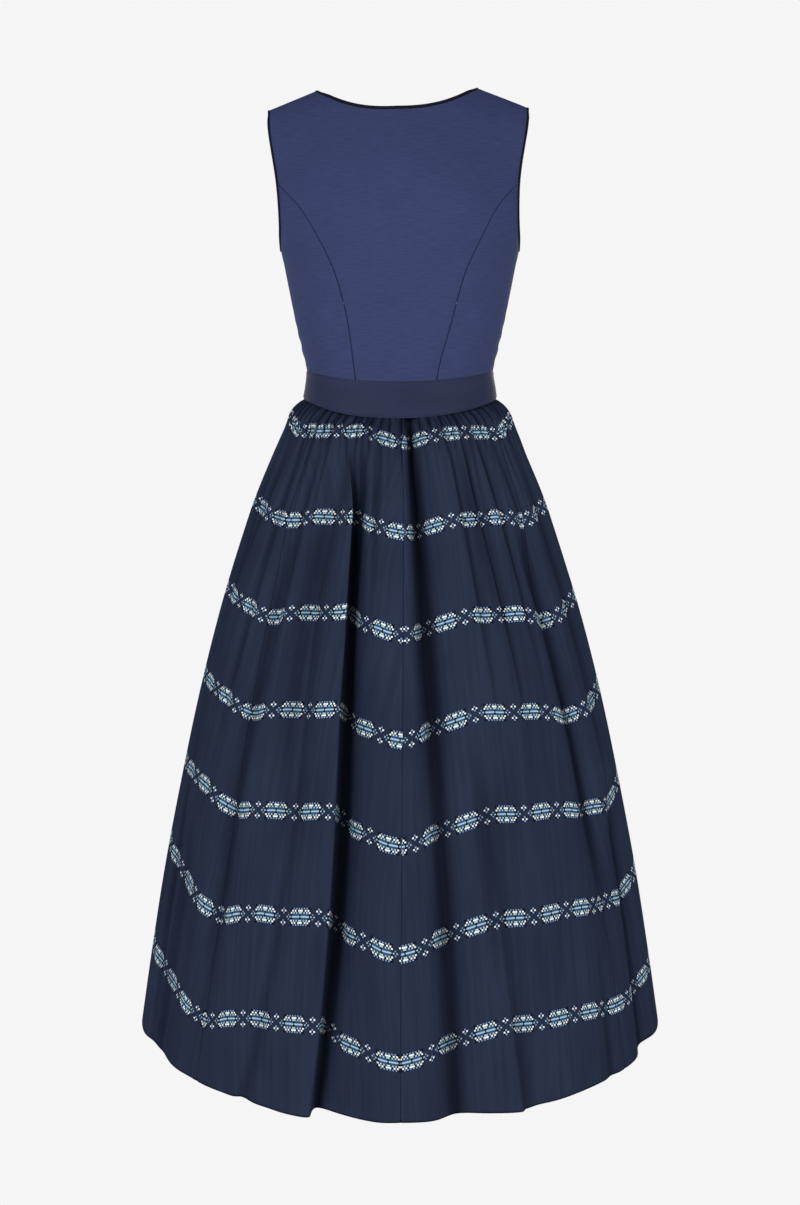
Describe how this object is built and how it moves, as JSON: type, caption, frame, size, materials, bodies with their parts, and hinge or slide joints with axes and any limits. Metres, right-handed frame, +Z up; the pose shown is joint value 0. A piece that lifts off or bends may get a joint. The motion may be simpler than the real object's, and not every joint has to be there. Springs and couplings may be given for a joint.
{
  "type": "dirndl dress",
  "caption": "Sleeveless dirndl dress, worn shape: princess-seamed bodice, waistband and long gathered gored skirt, open at neck, armholes and hem.",
  "frame": {"origin": "midway between the shoulders at the height of the shoulder seams, where the wearer's shoulders hold the dress", "axes": "+Z up; the wearer faces +Y and the garment's back faces -Y; +X is the wearer's right"},
  "size_m": [0.7317, 0.62, 1.3008],
  "materials": {
    "bodice_cloth": "matt navy twill with a fine slub",
    "band_satin": "smooth dark navy satin",
    "skirt_cloth": "thin dark navy cloth with a fine sheen and woven border bands",
    "piping": "matt black corded edging"
  },
  "bodies": {
    "root": {"bodice_back_centre": "bodice_cloth", "bodice_back_side_left": "bodice_cloth", "bodice_back_side_right": "bodice_cloth", "bodice_front_side_left": "bodice_cloth", "bodice_front_side_right": "bodice_cloth", "bodice_front_left": "bodice_cloth", "bodice_front_right": "bodice_cloth", "neck_piping": "piping", "armhole_piping_left": "piping", "armhole_piping_right": "piping", "waistband": "band_satin", "skirt_back_left": "skirt_cloth", "skirt_back_right": "skirt_cloth", "skirt_side_left": "skirt_cloth", "skirt_side_right": "skirt_cloth", "skirt_front_left": "skirt_cloth", "skirt_front_right": "skirt_cloth"}
  },
  "joints": []
}
